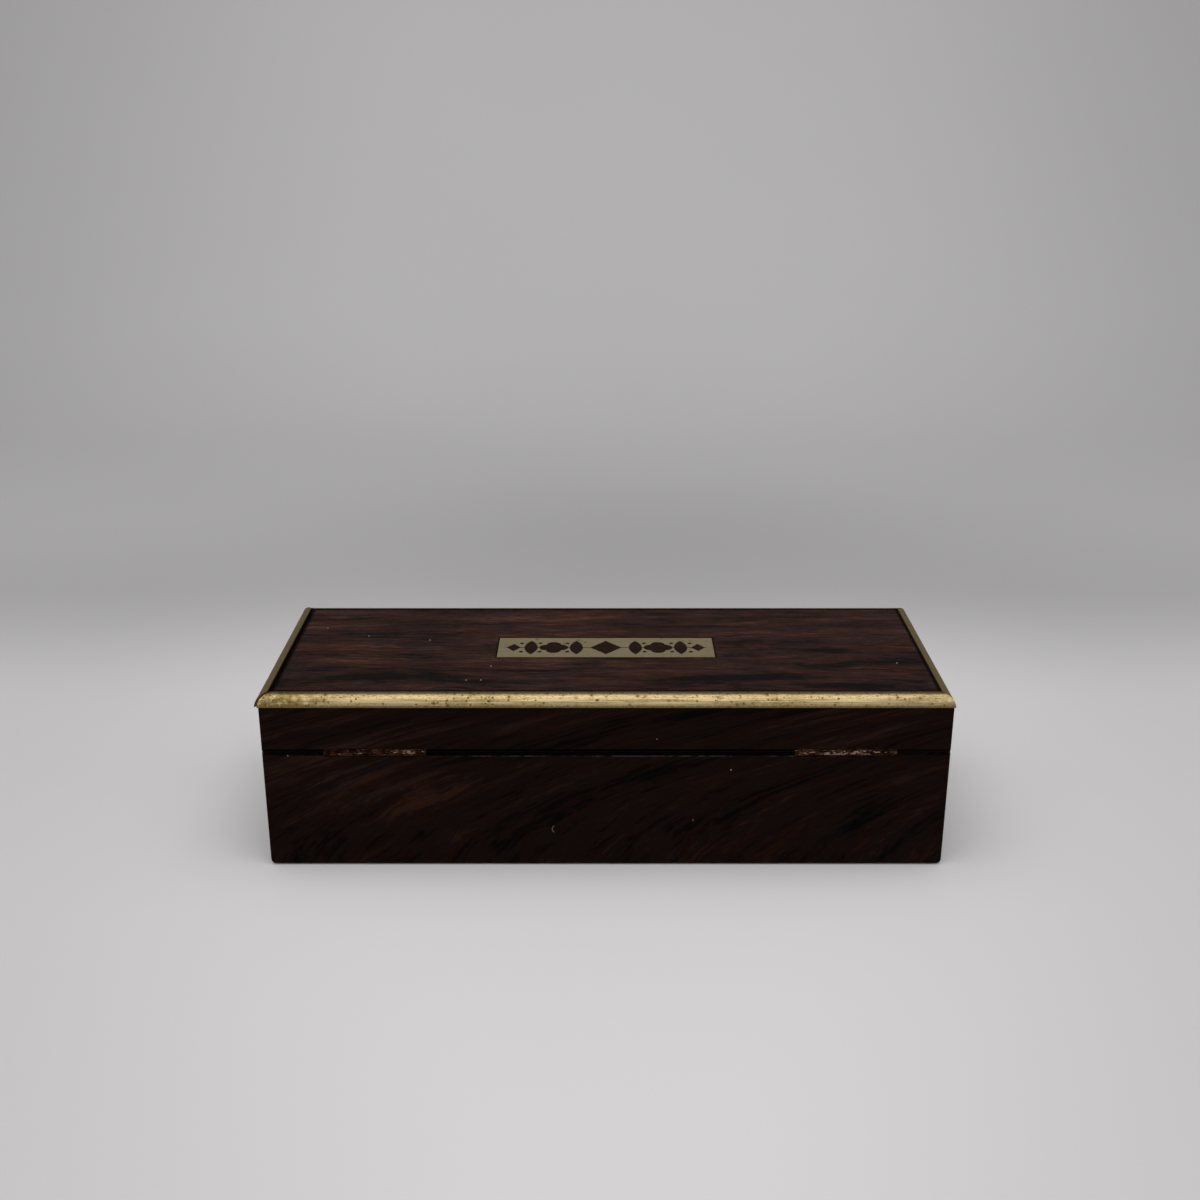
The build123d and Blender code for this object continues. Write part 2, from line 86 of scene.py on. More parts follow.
class GloveBoxSizes(bpy.types.PropertyGroup):
    """Sizes that a user would change."""

    bead_wear: length_prop("Bead wear", "Depth of the dents in the brass beads", 0.00007)
    lining_round: length_prop("Lining edge", "How far the silk rolls over a card edge", 0.0011)
    quilt_long: length_prop("Quilt pitch along", "Tufts of the lid pad along the box", 0.0234)
    quilt_wide: length_prop("Quilt pitch across", "Tufts of the lid pad across the box", 0.0188)
    button_radius: length_prop("Button radius", "Silk buttons of the lid pad", 0.0024)
    silk_rib: length_prop("Silk rib", "Pitch of the ribs of the silk", 0.00042)
    pad_steps: IntProperty(name="Pad steps", description="Cloth steps of a pad", default=14, min=1)


class GloveBoxColours(bpy.types.PropertyGroup):
    """Colours that a user would change."""

    wood_dark: colour_prop("Dark figure", "Rosewood's dark figure", (0.0082, 0.0061, 0.0059))
    wood_mid: colour_prop("Wood", "Rosewood between the dark figure", (0.0335, 0.016, 0.0128))
    wood_warm: colour_prop("Warm wood", "Rosewood's lightest streaks", (0.087, 0.0375, 0.025))
    mahogany: colour_prop("Mahogany", "The case's boards", (0.185, 0.066, 0.028))
    brass: colour_prop("Brass", "Clean brass", (0.475, 0.362, 0.188))
    tarnish: colour_prop("Tarnish", "Dull brass", (0.215, 0.16, 0.066))
    inlay: colour_prop("Inlay", "Satin brass of the inlaid panel", (0.44, 0.367, 0.208))
    rust: colour_prop("Corrosion", "Crust on the hinges", (0.05, 0.019, 0.007))
    silk: colour_prop("Silk", "Faded ruby silk", (0.3, 0.024, 0.03))
    baize: colour_prop("Baize", "Green baize", (0.02, 0.062, 0.034))
    floor: colour_prop("Floor", "Pale studio paper", (0.87, 0.855, 0.845))


def sizes():
    return bpy.context.scene.glove_box_sizes


def colours():
    return bpy.context.scene.glove_box_colours


# ---- node trees


def maths_node(operation):
    """A method that puts a Field and what follows through one maths node."""
    return lambda self, *others: self.finish.maths(operation, self, *others)


class Field:
    """A number or point that varies over a surface. Arithmetic on it adds nodes to its finish."""

    def __init__(self, finish, socket):
        self.finish, self.socket = finish, socket

    __add__ = __radd__ = maths_node("ADD")
    __sub__ = maths_node("SUBTRACT")
    __mul__ = __rmul__ = maths_node("MULTIPLY")
    __truediv__ = maths_node("DIVIDE")
    __pow__ = maths_node("POWER")
    __abs__ = maths_node("ABSOLUTE")
    least = maths_node("MINIMUM")
    most = maths_node("MAXIMUM")
    sine = maths_node("SINE")

    def __rsub__(self, other):
        return self.finish.maths("SUBTRACT", other, self)

    def step(self, low, high):
        """Rises smoothly from 0 at low to 1 at high, or falls where low is the greater."""
        return self.finish.field("MapRange", self, low, high, interpolation_type="SMOOTHSTEP")

    def bump(self, centre, width):
        """A bell of height 1 at centre: 2 to the power of minus the squared distance over width."""
        off = (self - centre) / width
        return self.finish.maths("POWER", 0.5, off * off)


class Finish:
    """A material built a node at a time on the piece's own coordinates, in millimetres."""

    def __init__(self, name):
        self.material = bpy.data.materials.new(name)
        self.material.use_nodes = True
        self.tree = self.material.node_tree
        self.tree.nodes.clear()
        own = self.field("TexCoord", output="Object")
        grown = self.node("VectorMath", own, operation="SCALE")
        grown.inputs["Scale"].default_value = 1 / MM
        self.place = Field(self, grown.outputs[0])
        parts = self.node("SeparateXYZ", self.place)
        self.x, self.y, self.z = (Field(self, out) for out in parts.outputs)

    def feed(self, socket, value):
        if isinstance(value, Field):
            self.tree.links.new(value.socket, socket)
        elif socket.type == "RGBA":
            socket.default_value = (*value[:3], 1)
        else:
            socket.default_value = value

    def node(self, kind, *values, **settings):
        """A new node with its settings made and its first inputs fed."""
        made = self.tree.nodes.new(f"ShaderNode{kind}")
        for name, value in settings.items():
            setattr(made, name, value)
        for socket, value in zip(made.inputs, values):
            self.feed(socket, value)
        return made

    def field(self, kind, *values, output=0, **settings):
        """What a new node puts out."""
        return Field(self, self.node(kind, *values, **settings).outputs[output])

    def maths(self, operation, *values):
        return self.field("Math", *values, operation=operation)

    def point(self, x, y, z=0):
        return self.field("CombineXYZ", x, y, z)

    def lie(self, axes):
        """The coordinates that axes names: first the one along the grain, then those across it."""
        return tuple(getattr(self, axis) for axis in axes)

    def noise(self, scale, detail=2, rough=0.5, where=None):
        """Cloudy noise from 0 to 1, with scale clouds to a unit of where, or to a millimetre."""
        return self.field("TexNoise", where or self.place, 0, scale, detail, rough)

    def drawn(self, lie, long, wide, detail=2, rough=0.5, seed=0):
        """Noise with long clouds to a unit of the first coordinate of lie, and wide clouds across
        it. The seed stands in for a third coordinate where there is none."""
        along, first, *rest = lie
        second = rest[0] * wide if rest else seed
        return self.noise(1, detail, rough, self.point(along * long, first * wide, second))

    def cells(self, scale):
        """Distance to the nearest of scattered points, scale to a millimetre, and its number."""
        made = self.node("TexVoronoi", self.place, 0, scale)
        number = self.field("SeparateColor", Field(self, made.outputs["Color"]))
        return Field(self, made.outputs["Distance"]), number

    def away(self, centre):
        """Distance from a place on the box, in millimetres."""
        return self.field("VectorMath", self.place, centre, output="Value", operation="DISTANCE")

    def spots(self, places, radius):
        """1 near any of the places, 0 further from them than radius."""
        nearest = self.away(places[0])
        for place in places[1:]:
            nearest = nearest.least(self.away(place))
        return nearest.step(radius, 0.6 * radius)

    def mix(self, share, first, second, blend="MIX"):
        made = self.node("Mix", data_type="RGBA", blend_type=blend)
        for index, value in ((0, share), (6, first), (7, second)):
            self.feed(made.inputs[index], value)
        return Field(self, made.outputs[2])

    def layers(self, colour, *coats):
        """Lays coats over a colour, each given as its share and its own colour."""
        for share, coat in coats:
            colour = self.mix(share, colour, coat)
        return colour

    def ramp(self, value, *stops):
        """Colours along a scale, each stop given as its position and its colour."""
        made = self.node("ValToRGB", value)
        marks = made.color_ramp.elements
        while len(marks) < len(stops):
            marks.new(0.5)
        for mark, (position, colour) in zip(marks, stops):
            mark.position, mark.color = position, (*colour[:3], 1)
        return Field(self, made.outputs[0])

    def relief(self, height, depth):
        """A bump as deep as depth, in millimetres."""
        made = self.node("Bump", 1, depth * MM)
        self.feed(made.inputs["Height"], height)
        return Field(self, made.outputs[0])

    def surface(self, colour, roughness, normal=None, metal=0, specular=0.5, sheen=()):
        """Ends the material. Sheen is given as its weight, roughness and tint."""
        shader = self.node("BsdfPrincipled", colour, metal, roughness)
        shader.inputs["Specular IOR Level"].default_value = specular
        if normal is not None:
            self.feed(shader.inputs["Normal"], normal)
        for name, value in zip(("Weight", "Roughness", "Tint"), sheen):
            self.feed(shader.inputs[f"Sheen {name}"], value)
        self.node("OutputMaterial", Field(self, shader.outputs[0]))
        return self.material


def tinted(colour, factors):
    """A colour times one factor, or times one for each channel, and never over 1."""
    return tuple(np.minimum(np.multiply(colour, factors), 1).tolist())


def dress(material, *nodes):
    """Puts a finish on CAD nodes."""
    for name in nodes:
        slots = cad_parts[name].data.materials
        if not slots:
            slots.append(material)
        for index in range(len(slots)):
            slots[index] = material


# ---- meshes


def grid_faces(rows, columns, ring=False):
    """Quads of a grid of rows by columns points, closed round the columns where ring is set."""
    row = np.arange(rows - 1)[:, None] * columns
    column = np.arange(columns if ring else columns - 1)[None, :]
    following = (column + 1) % columns
    below = row + columns
    quads = np.stack([row + column, row + following, below + following, below + column], -1)
    return quads.reshape(-1, 4)


def tube_faces(rows, columns):
    """Quads round a tube of rows rings of columns points, and a cap on each end."""
    last = (rows - 1) * columns
    caps = [list(range(columns)), list(range(last, last + columns))]
    return grid_faces(rows, columns, ring=True).tolist() + caps


def on_both(faces, count):
    """The same faces on two layers of count points, one layer after the other."""
    return np.concatenate([faces, faces + count])


def places(x, y, z):
    """Points from their coordinates, each an array or a number."""
    return np.stack(np.broadcast_arrays(x, y, z), -1)


def link_object(name, data):
    """A new object at the origin, linked to the scene."""
    made = bpy.data.objects.new(name, data)
    bpy.context.scene.collection.objects.link(made)
    return made


def make_mesh(name, points, faces, material):
    """A smooth-shaded mesh of one material."""
    mesh = bpy.data.meshes.new(name)
    mesh.from_pydata(np.asarray(points, float).reshape(-1, 3).tolist(), [], faces)
    mesh.materials.append(material)
    mesh.shade_smooth()
    return mesh


def make_piece(name, points, faces, material, body, replaced=(), weld=0):
    """Makes a closed piece, turns its faces outwards and lets it ride on a body."""
    mesh = make_mesh(name, points, faces, material)
    work = bmesh.new()
    work.from_mesh(mesh)
    if weld:
        bmesh.ops.remove_doubles(work, verts=work.verts, dist=weld)
        bmesh.ops.dissolve_degenerate(work, edges=work.edges, dist=weld)
    bmesh.ops.recalc_face_normals(work, faces=work.faces)
    work.to_mesh(mesh)
    work.free()
    piece = link_object(name, mesh)
    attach(piece, body)
    if replaced:
        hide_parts(*replaced)
    return piece


def corners(node):
    """Lowest and highest corner of a CAD node, as arrays in metres."""
    low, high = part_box(node)
    return np.array(low), np.array(high)


def edge_distance(x, y, low, high):
    """How far each point lies inside the nearest side of the rectangle from low to high."""
    return np.minimum(np.minimum(x - low[0], high[0] - x), np.minimum(y - low[1], high[1] - y))


def quarter_round(distance, width):
    """A quarter circle from 0 at distance 0 to 1 at width: the root of 1 - (1 - share) squared."""
    share = np.clip(distance / width, 0, 1)
    return np.sqrt(1 - (1 - share) ** 2)


def ripple(u, v, seed, waves=7, coarse=2, fine=12):
    """Waviness between -1 and 1: the mean of sine waves of set random directions and phases."""
    draw = np.random.default_rng(seed)
    total = np.zeros(np.broadcast(u, v).shape)
    for _ in range(waves):
        a, b = draw.uniform(-1, 1, 2) * draw.uniform(coarse, fine)
        total = total + np.sin(a * u + b * v + draw.uniform(0, 2 * np.pi))
    return total / waves


# ---- operators


class StageOperator(bpy.types.Operator):
    """Sets up the pale sweep, the soft light and the camera"""

    bl_idname = "glovebox.stage"
    bl_label = "Stage"

    # The sweep, in metres: its floor runs from near_end to turn_start.
    half_width, near_end, turn_start, turn_radius, wall_top = 6, 6, -0.6, 0.6, 2.4
    # The camera looks down by so many degrees.
    eye, look_down, lens, sensor = (0.0023, 0.5359, 0.2865), 20.18, 44.06, 36
    lamp_place, lamp_size, lamp_power = (0, 0.2, 1.05), (1, 0.8), 3.4
    sky_colour, sky_strength = (0.98, 0.98, 1, 1), 0.64

    def execute(self, context):
        self.sweep(colours().floor)
        optics = bpy.data.cameras.new("camera")
        optics.lens, optics.sensor_width = self.lens, self.sensor
        optics.clip_start, optics.clip_end = 0.01, 20
        camera = link_object("camera", optics)
        camera.location = self.eye
        camera.rotation_euler = (math.radians(90 - self.look_down), 0, math.pi)
        context.scene.camera = camera
        lamp = bpy.data.lights.new("key_light", "AREA")
        lamp.shape = "RECTANGLE"
        lamp.size, lamp.size_y = self.lamp_size
        lamp.energy = self.lamp_power
        link_object("key_light", lamp).location = self.lamp_place
        world = bpy.data.worlds.new("studio")
        world.use_nodes = True
        back = world.node_tree.nodes["Background"]
        back.inputs["Color"].default_value = self.sky_colour
        back.inputs["Strength"].default_value = self.sky_strength
        context.scene.world = world
        context.scene.view_settings.view_transform = "Standard"
        context.scene.view_settings.look = "None"
        return {"FINISHED"}

    def sweep(self, floor_colour):
        """P(u, v) = (u, along(v), up(v)): a flat floor, a quarter circle up and a wall."""
        turn = np.radians(np.linspace(0, 90, 33))[1:]
        floor = np.linspace(self.near_end, self.turn_start, 37)
        curve = self.turn_start - self.turn_radius * np.sin(turn)
        rise = self.turn_radius * (1 - np.cos(turn))
        along = np.concatenate([floor, curve, curve[-1:]])
        up = np.concatenate([np.zeros_like(floor), rise, [self.wall_top]])
        across = np.linspace(-self.half_width, self.half_width, 13)
        u, v = np.meshgrid(across, np.arange(len(along)), indexing="ij")
        faces = grid_faces(*u.shape).tolist()
        points = places(u, along[v], up[v])
        mesh = make_mesh("sweep", points, faces, self.paper(floor_colour))
        link_object("sweep", mesh)

    def paper(self, floor_colour):
        """Pale paper, with the falloff of the studio's light painted on in soft steps."""
        f = Finish("studio_paper")
        far = f.y.step(-95, -275)
        rise = f.y.step(-330, -900)
        side = (abs(f.x) + 0.4 * f.y.most(0)).step(100, 280) * f.y.step(-420, -150)
        edge = abs(f.x).step(150, 800) * f.y.step(-300, -800)
        cloud = f.noise(0.004, 2)
        high = f.z.step(330, 800)
        patch = f.x.bump(-30, 190) * f.y.bump(-330, 130)
        painted_shade = 1 - 0.3 * far + (0.11 * rise - 0.3 * high - 0.12 * patch)
        painted_shade = painted_shade * (1 - 0.14 * side) * (1 - 0.22 * edge) - 0.03 * cloud
        colour = f.mix(1, f.point(painted_shade, painted_shade, painted_shade), floor_colour, "MULTIPLY")
        return f.surface(colour, 0.9, specular=0.1)


class RosewoodOperator(bpy.types.Operator):
    """Veneers the outside and the wood fills of the panel with rosewood"""

    bl_idname = "glovebox.rosewood"
    bl_label = "Rosewood"

    # On the top, lenses of dark wood: x, y, half length and half width.
    lenses = (
        (-42, 30.5, 17, 2), (-66, 29, 15, 2.6), (-88, 38, 13, 1.8), (-86, 3.5, 9, 1.8),
        (-112, 14, 17, 2.6), (84, 30, 22, 3), (30, 23.5, 13, 0.9), (92, -11, 17, 0.8),
    )
    # Knots: x, y, half length, half width and how far they push the grain.
    knots = ((74, 26, 13, 5, 2.6), (-78, 22, 16, 6, -2.2), (-20, -22, 26, 8, 1.8))
    # Crumbs of dust, and the nick on the back.
    top_dust = (
        (113, -21.1, TOP), (95, -12.2, TOP), (70, -7.9, TOP), (52.2, 32.3, TOP),
        (46.7, 32.3, TOP), (43.9, 18.8, TOP), (-111.5, 15.9, TOP),
    )
    back_dust = ((-46.2, BACK, 40), (117.4, BACK, 45.9), (115.9, BACK, 46.1))
    faint_dust = ((-32.6, BACK, 19.1), (-18.6, BACK, 52.6))
    nick = (18.8, BACK, 15.3)

    def execute(self, context):
        """Each veneer has its seed, its painted shade, which makes the one rosewood lighter or
        darker on each face for how the light falls on it, its weights (how strongly bands,
        streaks, fine lines and veins show) and the nodes that it is on."""
        for lie, marks, seed, painted_shade, weights, name, *nodes in (
            (self.lie_top, self.top_marks, 3.1, 1.03, (1.3, 1.2, 1.6, 0.2), "top",
             "lid_top_veneer"),
            (self.lie_back, self.back_marks, 7.7, 0.29, (1.15, 0.42, 1.05, 0.25), "back",
             "base_back_veneer", "lid_back_veneer"),
            (self.lie_front, self.joint_marks, 12.4, 0.48, (1.15, 0.42, 1.05, 0.27), "front",
             "base_front_veneer", "lid_front_veneer"),
            (self.lie_ends, self.joint_marks, 19.2, 0.38, (1.2, 0.6, 0.6, 0.25), "ends",
             "base_left_veneer", "lid_left_veneer", "base_right_veneer", "lid_right_veneer"),
            (self.lie_top, None, 25, 0.58, (0.8, 1, 0.6, 0.1), "fill", "inlay_wood"),
        ):
            dress(self.veneer(f"rosewood_{name}", lie, seed, painted_shade, weights, marks), *nodes)
        return {"FINISHED"}

    def lie_top(self, f):
        """Grain along the box, pushed sideways round a few knots."""
        across = f.y
        for x, y, long, wide, push in self.knots:
            across = across + push * f.x.bump(x, long) * f.y.bump(y, wide)
        return f.x, across

    def lie_back(self, f):
        return self.arcs(f, f.x * -1)

    def lie_front(self, f):
        return self.arcs(f, f.x + 31)

    def arcs(self, f, x):
        """Arcs that climb steeply from the foot and lean over towards +x: a streak is where x
        minus a quadratic of the height stays the same."""
        lean = 0.62 * f.z + 0.0235 * f.z * f.z
        return f.z * 1.8 + 0.25 * x, (x - lean) * 0.52

    def lie_ends(self, f):
        """Straight grain along the depth, a little on the slant."""
        return f.y + 3 * f.x, f.z + 0.14 * f.y

    # Marks give the tone back, and the share of black for dirt, dark joints and painted shade,
    # the share of spots and their colour.

    def top_marks(self, f, tone, streaks):
        """Dark lenses, dirt and painted shade along the beads, dirt round the brass panel, and
        crumbs of dust.
        """
        for x, y, long, wide in self.lenses:
            tone = tone - 0.95 * f.x.bump(x, long) * f.y.bump(y, wide) * streaks
        # Painted shade and dirt: the wood darkens next to the beads, which stand above it.
        rim = abs(f.x).step(121.2, 122).most(abs(f.y).step(41.5, 42.4))
        seam = abs(f.x).step(43, 42.7) * abs(f.y).step(10.8, 10.5)
        tone = tone - 0.1 * f.y.step(22, 40)
        dust = f.spots(self.top_dust, 0.36)
        return tone, rim.most(seam) * 0.85, dust, (0.42, 0.4, 0.37)

    def joint_marks(self, f, tone, streaks):
        """A dark joint between lid and base, with both its edges a little worn."""
        away = abs(f.z - JOINT)
        grain = f.noise(0.16, 3, 0.7)
        worn = away.bump(0.42, 0.16) * grain.step(0.35, 0.65)
        return tone, away.step(0.22, 0.12), worn * 0.09, (0.36, 0.26, 0.19)

    def back_marks(self, f, tone, streaks):
        """The sawn bevels of the joint are painted black, as painted shade in the gap and as dirt,
        and the hinges have stained the wood round them. Beyond the hinges the black thins out, to
        a line towards -x and to patches towards +x. The arris is pale with wear and a painted
        highlight, and a crescent nick and crumbs of dust are pale."""
        grain = f.noise(0.16, 3, 0.7)
        away = abs(f.z - JOINT)
        patches = f.x.step(104.5, 107) * grain.step(0.4, 0.55) * 0.75
        thin = 0.8 * f.x.step(-106.5, -108.5).most(patches)
        # Painted shade and dirt: the bevels of the joint, a recess, are painted black.
        darkening = (away.step(1.4, 1.15) * (1 - thin)).most(away.step(0.35, 0.15))
        warm = f.x.bump(92, 34) * f.z.bump(38, 13)
        hinge = abs(abs(f.x + 1.5) - 86.75).step(20.5, 18) * away.step(2.3, 1.5)
        stain = hinge * grain.step(0.3, 0.6)
        tone = tone - 0.9 * darkening + 0.26 * warm - 0.25 * hinge + 0.55 * stain
        nick = f.away(self.nick).bump(1.45, 0.15) * f.x.step(19.2, 19.8)
        # Wear and painted highlight: a broken pale line along the arris below the joint.
        arris = f.z.bump(45.7, 0.2) * grain.step(0.42, 0.62) * abs(f.x).step(124, 60)
        dust = f.spots(self.back_dust, 0.3).most(f.spots(self.faint_dust, 0.3) * 0.45)
        return tone, darkening, dust.most(nick * 0.3).most(arris * 0.09), (0.36, 0.31, 0.26)

    def veneer(self, name, lie, seed, painted_shade, weights, marks):
        """Rosewood figure: noise drawn out along a grain that wanders, at several widths."""
        f = Finish(name)
        along, across = lie(f)
        broad, narrow, hair, inked = weights
        wander = f.drawn((along, across), 0.012, 0.022, seed=seed) - 0.5
        shiver = f.drawn((along, across), 0.06, 0.12, seed=seed + 5) - 0.5
        grain = (along, across + 13 * wander + 2.4 * shiver)
        bands = f.drawn(grain, 0.018, 0.11, 3, 0.6, seed + 11)
        figure = f.drawn(grain, 0.014, 0.34, 2, 0.55, seed + 13)
        broken = f.drawn(grain, 0.035, 0.2, 2, 0.6, seed + 15).step(0.38, 0.6)
        veins = figure.bump(0.5, 0.06) * broken
        streaks = f.drawn(grain, 0.065, 0.62, 5, 0.75, seed + 17)
        fine = f.drawn(grain, 0.16, 1.9, 4, 0.75, seed + 23)
        pores = f.drawn(grain, 0.3, 7, 1, seed=seed + 31).step(0.63, 0.72)
        tone = 0.55 + broad * (bands - 0.5) + narrow * (streaks - 0.5)
        tone = tone + hair * (fine - 0.5) - inked * veins
        if marks:
            tone, darkening, spot, spot_colour = marks(f, tone, streaks)
        dark, mid, warm = colours().wood_dark, colours().wood_mid, colours().wood_warm
        colour = f.ramp(tone, (0.22, dark), (0.46, mid), (0.62, mid), (0.88, warm))
        colour = f.mix(pores * 0.65, colour, dark)
        hue = f.drawn(grain, 0.03, 0.22, 4, 0.7, seed + 41)
        tint = f.ramp(hue, (0.36, (0.82, 1.02, 1.18)), (0.64, (1.17, 0.99, 0.8)))
        colour = f.mix(1, colour, tint, "MULTIPLY")
        # Painted shade: each face's copy of the rosewood is made lighter or darker for how the
        # light falls on it.
        colour = f.mix(1, colour, (painted_shade, painted_shade, painted_shade), "MULTIPLY")
        rough = 0.46 + 0.16 * pores + 0.1 * (fine - 0.5)
        if marks:
            colour = f.layers(colour, (spot, spot_colour), (darkening, DIRT_AND_SHADE_BLACK))
            rough = rough + 0.3 * spot
        normal = f.relief(1 - 0.8 * pores + 0.25 * streaks, 0.012)
        return f.surface(colour, rough, normal, specular=0.008)


class CarcaseOperator(bpy.types.Operator):
    """Oils the mahogany boards of the case"""

    bl_idname = "glovebox.carcase"
    bl_label = "Carcase"

    def execute(self, context):
        long_boards = self.board("mahogany_long", "xy", 2)
        end_boards = self.board("mahogany_ends", "yx", 9)
        for half in ("base", "lid"):
            dress(long_boards, f"{half}_front_board", f"{half}_back_board")
            dress(end_boards, f"{half}_left_board", f"{half}_right_board")
        dress(long_boards, "base_bottom_board", "lid_top_board")
        return {"FINISHED"}

    def board(self, name, axes, seed):
        """Short dark pores along the grain over soft ribbons, dirty where hands and dust reach, and
        black in the back joint, as painted shade and dirt.
        """
        f = Finish(name)
        along, across = f.lie(axes)
        across = across + 0.35 * f.z
        across = across + 5 * (f.drawn((along, across), 0.012, 0.04, seed=seed) - 0.5)
        grain = (along, across)
        ribbon = f.drawn(grain, 0.02, 0.3, 3, 0.6, seed + 3)
        fine = f.drawn(grain, 0.06, 2.2, 3, 0.6, seed + 7)
        pores = f.drawn(grain, 0.35, 6, 1, seed=seed + 13).step(0.6, 0.68)
        mahogany = colours().mahogany
        light, deep = tinted(mahogany, (1.5, 1.6, 1.6)), tinted(mahogany, (0.45, 0.4, 0.4))
        colour = f.ramp(0.6 * ribbon + 0.4 * fine, (0.34, deep), (0.5, mahogany), (0.66, light))
        darkening = f.noise(0.05, 4, 0.7).step(0.52, 0.7) * 0.35
        # Painted shade and dirt: the boards are black in the gap of the joint at the back.
        joint_dirt_and_shade = abs(f.z - JOINT).step(1.2, 0.8) * f.y.step(45.9, 46.3)
        coats = (pores * 0.7, deep), (darkening, (0.03, 0.018, 0.012)), (joint_dirt_and_shade, DIRT_AND_SHADE_BLACK)
        colour = f.layers(colour, *coats)
        normal = f.relief(1 - pores + 0.3 * fine, 0.02)
        return f.surface(colour, 0.52 + 0.2 * pores, normal, specular=0.08)


def aged_brass(name, clean, dull, roughness, age, pitting, marks=None, axes="xyz"):
    """Brass with drawing lines along it, cloudy tarnish, scattered pits and dirt round them.

    The lines run along the first of the axes. age and pitting run from 0 to 1."""
    f = Finish(name)
    lie = f.lie(axes)
    cloud = f.drawn(lie, 0.11, 0.3, 4, 0.65)
    fine = f.drawn(lie, 1.1, 2.6, 3, 0.7)
    lines = f.drawn(lie, 0.035, 2.5, 3, 0.65)
    tarnish = (cloud * 0.55 + fine * 0.45).step(0.64 - 0.25 * age, 0.76 - 0.25 * age)
    more = 0.4 * pitting
    wide, pick = f.cells(0.36)
    chosen_wide = pick.step(0.86 - more, 0.9 - more)
    pits = (wide + 0.22 * (fine - 0.5)).step(0.17, 0.08) * chosen_wide
    close, pick = f.cells(1.25)
    pricks = (close + 0.2 * (fine - 0.5)).step(0.22, 0.1) * pick.step(0.9 - more, 0.93 - more)
    halo = wide.step(0.5, 0.12) * chosen_wide
    brown = (halo * 0.8).most(fine.step(0.52, 0.62) * (1.6 * age))
    worn = (tarnish * 0.7, dull), (lines.step(0.52, 0.64) * 0.5, dull)
    colour = f.layers(clean, *worn, (brown, tinted(dull, (0.95, 0.78, 0.42))))
    dark = pits.most(pricks)
    if marks:
        colour, dark = marks(f, colour, dark)
    colour = f.mix(dark * 0.85, colour, (0.1, 0.056, 0.009))
    rough = roughness + 0.16 * tarnish + 0.1 * lines + 0.35 * dark
    normal = f.relief(0.5 * lines + 0.25 * fine - 1 * dark, 0.05)
    return f.surface(colour, rough, normal, 1 - 0.7 * dark, specular=0.05)


